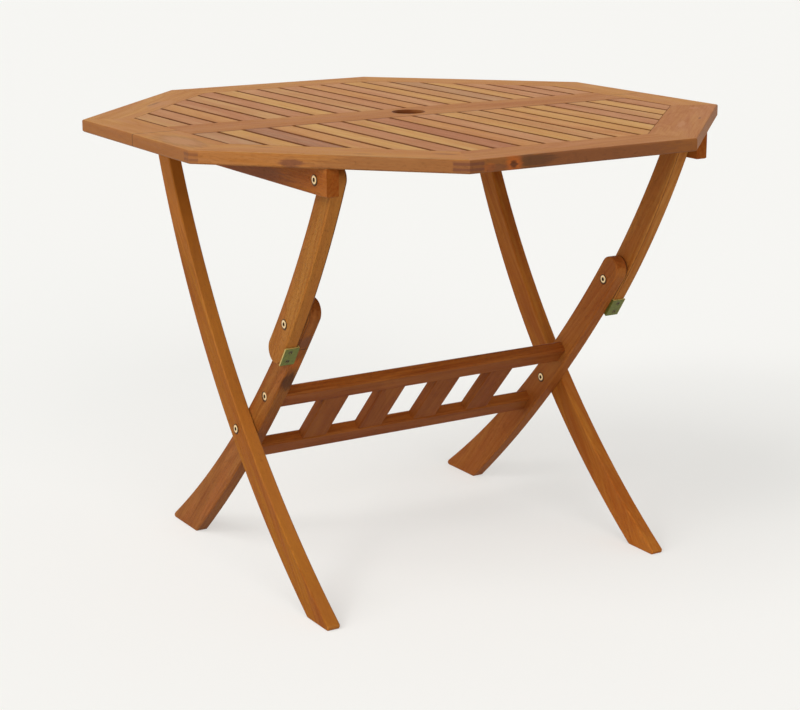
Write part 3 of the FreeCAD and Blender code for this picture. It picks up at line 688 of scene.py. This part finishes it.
class TABLE_OT_frame_boards(Operator):
    """Finish the boards round the top, with their finger joints"""

    bl_idname = "umbrella_table.frame_boards"
    bl_label = "Frame boards"

    def execute(self, context):
        for node, (turn, tone, edge_shade) in TOP_BOARDS.items():
            timber = Timber(node, (math.cos(turn), math.sin(turn), 0.0), UP)
            outward = Vector((timber.centre.x, timber.centre.y, 0.0)).normalized()
            # Painted shade on the outer edges of the boards
            timber.lay(timber.facing(outward).ramp(*FACES) * edge_shade, "edge")
            # Painted shade on the boards' inner walls, in the gaps beside the slats
            timber.lay(timber.facing(-outward).ramp(*FACES) * INNER_WALL, "gap")
            timber.lay_marks()
            self.lay_fingers(timber)
            if "end" in node:
                butt = abs(timber.coordinate("Y")).ramp(*BUTT_EDGES)
                timber.lay(butt * BUTT_LINE, "knot")
            timber.finish_in(tone)
        return {"FINISHED"}

    def lay_fingers(self, timber):
        """End grain of the fingers on the outer edge, beside each corner of the top."""
        low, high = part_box(timber.frame_node)
        reach = Vector((CORNER_REACH, CORNER_REACH, 0.0))
        low, high = low - reach, high + reach
        level = (timber.coordinate("Z") - low.z) / FINGER_PITCH
        every_other = level.math("FRACT", level).above(0.5)
        upright = 1 - timber.walls(UP)
        for x, y, length, strength in FINGER_CORNERS:
            if low.x < x < high.x and low.y < y < high.y:
                beside = timber.spot((x, y, low.z), (length, length, 1.0)).ramp(*FINGER_RIM)
                fingers = every_other * FINGER_CONTRAST + FINGER_BACK
                timber.lay(beside * upright * fingers * strength, "stain")


class TABLE_OT_parasol_rail(Operator):
    """Finish the rail with the parasol hole"""

    bl_idname = "umbrella_table.parasol_rail"
    bl_label = "Parasol rail"

    def execute(self, context):
        timber = Timber("parasol_rail", SIDEWAYS, UP)
        # Painted shade on the rail's sides, in the gaps beside the slats
        timber.lay(timber.walls(LENGTHWAYS) * GAP_WALL, "gap")
        # Painted shade inside the parasol hole
        bore = timber.spot(timber.centre, (HOLE_RIM, HOLE_RIM, 1.0)).above(0.0)
        timber.lay(bore * BORE_WALL, "gap")
        timber.finish_in("rail", "red")
        return {"FINISHED"}


class TABLE_OT_battens(Operator):
    """Finish the battens under the top"""

    bl_idname = "umbrella_table.battens"
    bl_label = "Battens"

    def execute(self, context):
        for node in ("left_batten", "right_batten"):
            timber = Timber(node, LENGTHWAYS, SIDEWAYS)
            timber.lay_marks()
            timber.shade_seats()
            timber.finish_in("batten", "leg", figure=0.7)
        return {"FINISHED"}


class TABLE_OT_legs(Operator):
    """Finish the curved legs, arms and segments"""

    bl_idname = "umbrella_table.legs"
    bl_label = "Legs"

    def execute(self, context):
        for node, tone in LEG_TONES.items():
            side, piece = node.split("_", 1)
            timber = Timber(node, LEG_RUNS[piece], SIDEWAYS)
            if side == "left" and piece != "lower_segment":
                # Painted light: paler front edges on the left long leg and arm
                front = timber.facing(LENGTHWAYS).ramp(*FACES_FRONT)
                timber.lay(front * FRONT_EDGE_LIGHT, "leg_front")
            timber.lay_marks()
            if piece != "long_leg":
                self.shade_overlap(timber)
            timber.shade_seats()
            timber.finish_in(tone, "leg_blush", figure=0.95)
        return {"FINISHED"}

    def shade_overlap(self, timber):
        """Painted shade: the dark line in the thin gap between an arm and its segment where they
        lie against each other.
        """
        from_layer_line = abs(abs(timber.coordinate("X")) - (LEG_IN + SEGMENT_OUT) / 2)
        on_edge = abs(timber.facing(SIDEWAYS)).ramp(*FACES_EDGEWAYS)
        overlap = timber.coordinate("Z").ramp(*OVERLAP_START)
        timber.lay(from_layer_line.ramp(*LAYER_EDGES) * on_edge * overlap * LAYER_LINE, "knot")


class TABLE_OT_ladder(Operator):
    """Finish the rails and rungs between the legs"""

    bl_idname = "umbrella_table.ladder"
    bl_label = "Ladder"

    def execute(self, context):
        runs = {"upper_ladder_rail": SIDEWAYS, "lower_ladder_rail": SIDEWAYS}
        runs.update({f"ladder_rung_{i}": RUNG_RUN for i in range(1, 5)})
        for node, run in runs.items():
            Timber(node, run, LADDER_FACE).finish_in("ladder", "leg_blush", figure=0.7)
        return {"FINISHED"}


# Bolts, modelled with round heads and key holes
HEAD_SIDES, BARREL_SIDES, KEY_SIDES = 64, 32, 6
SHARP_EDGE, SMOOTH_EDGE = math.radians(60), math.radians(35)


def add_rod(start, end, radius, sides):
    """A rod along X between two places."""
    bpy.ops.object.select_all(action="DESELECT")
    bpy.ops.mesh.primitive_cylinder_add(vertices=sides, radius=radius, depth=end - start,
                                        location=((start + end) / 2, 0.0, 0.0),
                                        rotation=(0.0, math.pi / 2, 0.0))
    bpy.ops.object.transform_apply(location=True, rotation=True, scale=True)
    return bpy.context.active_object


def apply_modifier(piece, kind, **settings):
    modifier = piece.modifiers.new(kind.title(), kind)
    for name, setting in settings.items():
        setattr(modifier, name, setting)
    bpy.context.view_layer.objects.active = piece
    bpy.ops.object.modifier_apply(modifier=modifier.name)


def round_rim(piece, width, segments):
    """Rounds the sharp edges of a turned piece."""
    apply_modifier(piece, "BEVEL", width=width, segments=segments, limit_method="ANGLE",
                   angle_limit=SHARP_EDGE)


def turned_head(sizes):
    """The round head of a bolt, facing +X, with a soft rim and a six-sided key hole."""
    head = add_rod(0.0, sizes.head_thickness, sizes.head_radius, HEAD_SIDES)
    round_rim(head, sizes.head_rim, 3)
    key = add_rod(sizes.head_thickness - sizes.key_depth, sizes.head_thickness * 2,
                  sizes.key_radius, KEY_SIDES)
    apply_modifier(head, "BOOLEAN", operation="DIFFERENCE", object=key, solver="EXACT")
    bpy.data.objects.remove(key)
    return head


def turned_barrel(start, end, radius, rim):
    """The plain part of a bolt, with broken edges."""
    barrel = add_rod(start, end, radius, BARREL_SIDES)
    round_rim(barrel, rim, 2)
    return barrel


def copy_of(piece, place, way):
    """A copy with its own mesh, at its place and facing +X or -X."""
    bpy.ops.object.select_all(action="DESELECT")
    piece.select_set(True)
    bpy.context.view_layer.objects.active = piece
    bpy.ops.object.duplicate()
    copy = bpy.context.active_object
    copy.location = place
    copy.rotation_euler.z = 0.0 if way > 0 else math.pi
    return copy


def join_pieces(pieces, name):
    """All of these as one piece, with its place in its mesh."""
    bpy.ops.object.select_all(action="DESELECT")
    for piece in pieces:
        piece.select_set(True)
    bpy.context.view_layer.objects.active = pieces[0]
    bpy.ops.object.join()
    bpy.ops.object.transform_apply(location=True, rotation=True, scale=True)
    bpy.ops.object.shade_smooth_by_angle(angle=SMOOTH_EDGE)
    joined = bpy.context.active_object
    joined.name = joined.data.name = name
    return joined


# Each node of bolts: its points, with the seats of the heads, the way they face (1 is outwards)
# and the ends of the barrel
HALF_GAP = 0.0002  # From a layer's face to the end of its half of the crossing bolt
RAIL_BOLT_SINK = 0.0016  # The rail bolts' heads are flush with the segments
RAIL_BOLT_REACH = 0.042
LONG_LEG_BOLTS = (("leg", ((BATTEN_OUT, 1),), (BATTEN_OUT, LEG_IN)),
                  ("crossing", ((LEG_OUT, 1),), (LEG_OUT, LEG_IN - HALF_GAP)))
BOLTS = {
    "arm_pivot_bolts": (("arm", ((BATTEN_OUT, 1),), (BATTEN_OUT, LEG_IN)),),
    "elbow_bolts": (("elbow", ((LEG_OUT, 1), (SEGMENT_IN, -1)), (LEG_OUT, SEGMENT_IN)),),
    "crossing_sleeves": (("crossing", ((SEGMENT_IN, -1),), (SEGMENT_OUT + HALF_GAP, SEGMENT_IN)),),
    "left_long_leg_bolts": LONG_LEG_BOLTS,
    "right_long_leg_bolts": LONG_LEG_BOLTS,
    "rail_bolts": (("rail", ((SEGMENT_OUT - RAIL_BOLT_SINK, 1),),
                    (SEGMENT_OUT - RAIL_BOLT_SINK, SEGMENT_IN - RAIL_BOLT_REACH)),),
}


class TABLE_OT_bolts(Operator):
    """Model the bolts with round heads and key holes"""

    bl_idname = "umbrella_table.bolts"
    bl_label = "Bolts"

    def execute(self, context):
        sizes = context.scene.bolt_sizes
        brass = brass_finish(sizes)
        head = turned_head(sizes)
        for node, bolts in BOLTS.items():
            sides = [side for side, name in ((-1, "right"), (1, "left")) if name not in node]
            pieces = []
            for point_name, heads, (outer, inner) in bolts:
                y, z = BOLT_POINTS[point_name]
                radius = sizes.rail_bolt_radius if point_name == "rail" else sizes.barrel_radius
                barrel = turned_barrel(inner, outer, radius, sizes.head_rim)
                for side in sides:
                    pieces.append(copy_of(barrel, (0.0, y, z), side))
                    pieces += [copy_of(head, (side * seat, y, z), side * way)
                               for seat, way in heads]
                bpy.data.objects.remove(barrel)
            turned = join_pieces(pieces, f"turned_{node}")
            turned.data.materials.append(brass)
            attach(turned, body_of(node))
            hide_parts(node)
        bpy.data.objects.remove(head)
        return {"FINISHED"}


# Metal finishes
METAL_SPECULAR = 0.5
SCRATCHES_SHOW, SCRATCH_RELIEF, SCRATCHES_ROUGHEN = (0.35, 0.7), 0.00005, 0.15
WORN_METAL = 1.5  # The power that makes a metal's worn tone
METAL_SHADE = 0.85  # How strongly a shade or a bright edge is laid over a metal
# Where the painted shade in a key hole and on the rim of a head begins and ends, against their
# radii
KEY_EDGES, SHINE_EDGES = (1.0, 0.9), (0.96, 1.04)
# Where the painted highlight lies on a bracket: its upper end, by the way it faces, and its side,
# by the depth below the surface
BRACKET_END, BRACKET_SIDE = (0.6, 0.9), (0.0008, 0.0004)


class Metal(Recipe):
    """A metal finish with fine scratches; wear is how strongly they change its tone."""

    def __init__(self, name, tone, wear):
        super().__init__(bpy.data.materials.new(name))
        self.tones = bpy.context.scene.metal_tones
        place = self.node("ShaderNodeTexCoord", {}, {})
        self.place, self.normal = place.outputs["Object"], place.outputs["Normal"]
        scaled = self.vector("DIVIDE", self.place, (self.tones.scratch_length,) * 3)
        self.fine = self.noise(scaled, detail=3.0, roughness=0.6)
        self.scratches = self.fine.ramp(*SCRATCHES_SHOW)
        plain = tuple(getattr(self.tones, tone))
        self.colour = self.mix(self.scratches * wear, plain, deeper(plain, WORN_METAL))

    def lay(self, mask, tone):
        """Lays one of the metal tones, painted shade and highlight among them, over the plain one
        where the mask is 1.
        """
        self.colour = self.mix(mask, self.colour, tuple(getattr(self.tones, tone)))

    def finish(self, roughness, metallic):
        return self.surface(self.colour, roughness, metallic, METAL_SPECULAR, self.fine,
                            SCRATCH_RELIEF)


def brass_finish(sizes):
    """Brass, with painted shade in the key holes and round the bright part of every head."""
    brass = Metal("fitting_brass", "brass", wear=0.3)
    _, y, z = brass.parts(brass.place)
    off_the_heads = 1.0
    for head_y, head_z in BOLT_POINTS.values():
        across, up = y - head_y, z - head_z
        from_middle = (across ** 2 + up ** 2) ** 0.5
        # Painted shade in the key hole
        brass.lay(from_middle.ramp(*(sizes.key_radius * edge for edge in KEY_EDGES)), "socket")
        across, up = across + sizes.shine_drift, up - sizes.shine_drift
        from_shine = (across ** 2 + up ** 2) ** 0.5
        off_the_head = from_shine.ramp(*(sizes.shine_radius * edge for edge in SHINE_EDGES))
        off_the_heads = off_the_head * off_the_heads
    # Painted shade on each head's rim, off to one side
    brass.lay(off_the_heads * METAL_SHADE, "socket")
    return brass.finish(0.32 + brass.scratches * SCRATCHES_ROUGHEN, metallic=0.85)


def bracket_finish():
    """Olive plate, with a painted highlight on its upper end and outer edge and painted shade round
    its holes.
    """
    plate = Metal("bracket_olive", "bracket", wear=0.5)
    x, y, z = plate.parts(plate.place)
    from_middle = abs(x) - (LEG_IN + LEG_OUT) / 2
    for hole_y, hole_z in BRACKET_HOLES:
        away = (from_middle ** 2 + (y - hole_y) ** 2 + (z - hole_z) ** 2) ** 0.5
        # Painted shade round each hole
        plate.lay(away.ramp(*BRACKET_HOLE_EDGES) * METAL_SHADE, "bracket_stain")
    on_end = plate.vector("DOT_PRODUCT", plate.normal, BRACKET_UPWARD).ramp(*BRACKET_END)
    on_side = abs(x).ramp(*(LEG_OUT - depth for depth in BRACKET_SIDE))
    # Painted highlight on the upper end and outer edge
    plate.lay(on_end.most(on_side) * METAL_SHADE, "bracket_edge")
    return plate.finish(0.5, metallic=0.4)


def steel_finish():
    """Plain steel for the screws under the top."""
    steel = Metal("screw_steel", "steel", wear=0.3)
    return steel.finish(0.35 + steel.scratches * SCRATCHES_ROUGHEN, metallic=0.9)


class TABLE_OT_fittings(Operator):
    """Finish the brackets and screws"""

    bl_idname = "umbrella_table.fittings"
    bl_label = "Fittings"

    def execute(self, context):
        plate, steel = bracket_finish(), steel_finish()
        for node, material in (("left_elbow_bracket", plate), ("right_elbow_bracket", plate),
                               ("batten_screws", steel), ("bracket_screws", steel)):
            dress(node, material)
        return {"FINISHED"}


# Studio
SENSOR_WIDTH, FARTHEST_SEEN = 36.0, 100.0  # In millimetres, and in metres
# The lamps' headings and heights as seen from the table, in degrees
LAMPS = {"key": (-82.0, 50.0), "streak": (-76.0, 37.0), "fill": (-84.0, 12.0),
         "front": (-12.0, 28.0)}


def seen_directly(recipe):
    """1 for what the camera, a gloss or a clear material sees, 0 for light on the object."""
    path = recipe.node("ShaderNodeLightPath", {}, {})
    rays = [Value(recipe, path.outputs[name])
            for name in ("Is Camera Ray", "Is Glossy Ray", "Is Transmission Ray")]
    return rays[0].most(rays[1]).most(rays[2])


def floor_material(studio):
    """Diffuse, so that it holds the table's shadow, with some of the backdrop's own glow."""
    recipe = Recipe(bpy.data.materials.new("studio_floor"))
    background = tuple(studio.background)
    dim = tuple(c * studio.floor_bounce for c in background)
    pale = tuple(min(1.0, c * studio.floor_gain) for c in background)
    colour = recipe.mix(seen_directly(recipe), dim, pale)
    lit = recipe.node("ShaderNodeBsdfDiffuse", {}, {"Color": colour})
    glow = recipe.node("ShaderNodeEmission", {},
                       {"Color": (*background, 1.0), "Strength": SCREEN_STRENGTH})
    share = seen_directly(recipe) * studio.floor_glow
    mixed = recipe.node("ShaderNodeMixShader", {},
                        {0: share, 1: lit.outputs["BSDF"], 2: glow.outputs["Emission"]})
    recipe.node("ShaderNodeOutputMaterial", {}, {"Surface": mixed.outputs["Shader"]})
    return recipe.owner


class TABLE_OT_stage(Operator):
    """Set up the camera, the lamps, the floor and the background"""

    bl_idname = "umbrella_table.stage"
    bl_label = "Studio"

    def execute(self, context):
        studio = context.scene.table_studio
        self.add_camera(context.scene, studio)
        self.add_floor(studio)
        for name, (heading, height) in LAMPS.items():
            self.add_lamp(context.scene, studio, name, heading, height)
        self.add_sky(context.scene, studio)
        context.scene.view_settings.view_transform = "Standard"
        return {"FINISHED"}

    def add_camera(self, scene, studio):
        data = bpy.data.cameras.new("camera")
        data.lens, data.sensor_width, data.clip_end = studio.lens, SENSOR_WIDTH, FARTHEST_SEEN
        camera = bpy.data.objects.new("camera", data)
        scene.collection.objects.link(camera)
        turn = Euler((math.pi / 2 - studio.tilt, 0.0, studio.heading)).to_matrix()
        turn = turn @ Matrix.Rotation(studio.roll, 3, "Z")
        camera.matrix_world = Matrix.Translation(studio.camera_place) @ turn.to_4x4()
        scene.camera = camera

    def add_floor(self, studio):
        bpy.ops.object.select_all(action="DESELECT")
        bpy.ops.mesh.primitive_plane_add(size=studio.floor_size, location=(0.0, 0.0, 0.0))
        floor = bpy.context.active_object
        floor.name = "studio_floor"
        floor.data.materials.append(floor_material(studio))

    def add_lamp(self, scene, studio, name, heading, height):
        """A lamp far away, seen from the table at this heading and height."""
        light = bpy.data.lights.new(f"{name}_lamp", "SUN")
        light.energy = getattr(studio, name)
        light.angle = studio.streak_softness if name == "streak" else studio.softness
        lamp = bpy.data.objects.new(light.name, light)
        scene.collection.objects.link(lamp)
        lamp.rotation_euler = Euler((math.radians(90 - height), 0.0, math.radians(heading)))

    def add_sky(self, scene, studio):
        """Even light on the table, and the backdrop's own tone behind it."""
        recipe = Recipe(bpy.data.worlds.new("studio_world"))
        scene.world = recipe.owner
        colour = recipe.mix(seen_directly(recipe), (studio.sky,) * 3, tuple(studio.background))
        shader = recipe.node("ShaderNodeBackground", {},
                             {"Color": colour, "Strength": SCREEN_STRENGTH})
        recipe.node("ShaderNodeOutputWorld", {}, {"Surface": shader.outputs["Background"]})


class TABLE_PT_finisher(Panel):
    """Lists the pieces of the table and the studio"""

    bl_label = "Umbrella Table"
    bl_idname = "TABLE_PT_finisher"
    bl_space_type = "VIEW_3D"
    bl_region_type = "UI"
    bl_category = "Umbrella Table"

    def draw(self, context):
        for operator in OPERATORS:
            self.layout.operator(operator.bl_idname)
        for group in PROPERTY_GROUPS:
            settings = getattr(context.scene, group)
            box = self.layout.box()
            for name in settings.__annotations__:
                box.prop(settings, name)


OPERATORS = (TABLE_OT_slats, TABLE_OT_frame_boards, TABLE_OT_parasol_rail, TABLE_OT_battens,
             TABLE_OT_legs, TABLE_OT_ladder, TABLE_OT_bolts, TABLE_OT_fittings, TABLE_OT_stage)
PROPERTY_GROUPS = {"wood_tones": WoodTones, "grain_sizes": GrainSizes, "bolt_sizes": BoltSizes,
                   "metal_tones": MetalTones, "table_studio": Studio}
CLASSES = (*PROPERTY_GROUPS.values(), *OPERATORS, TABLE_PT_finisher)


def register():
    for cls in CLASSES:
        bpy.utils.register_class(cls)
    for name, group in PROPERTY_GROUPS.items():
        setattr(bpy.types.Scene, name, PointerProperty(type=group))


def unregister():
    for name in PROPERTY_GROUPS:
        delattr(bpy.types.Scene, name)
    for cls in reversed(CLASSES):
        bpy.utils.unregister_class(cls)


def main():
    register()
    for operator in OPERATORS:
        group, name = operator.bl_idname.split(".")
        getattr(getattr(bpy.ops, group), name)()


if __name__ == "__main__":
    main()
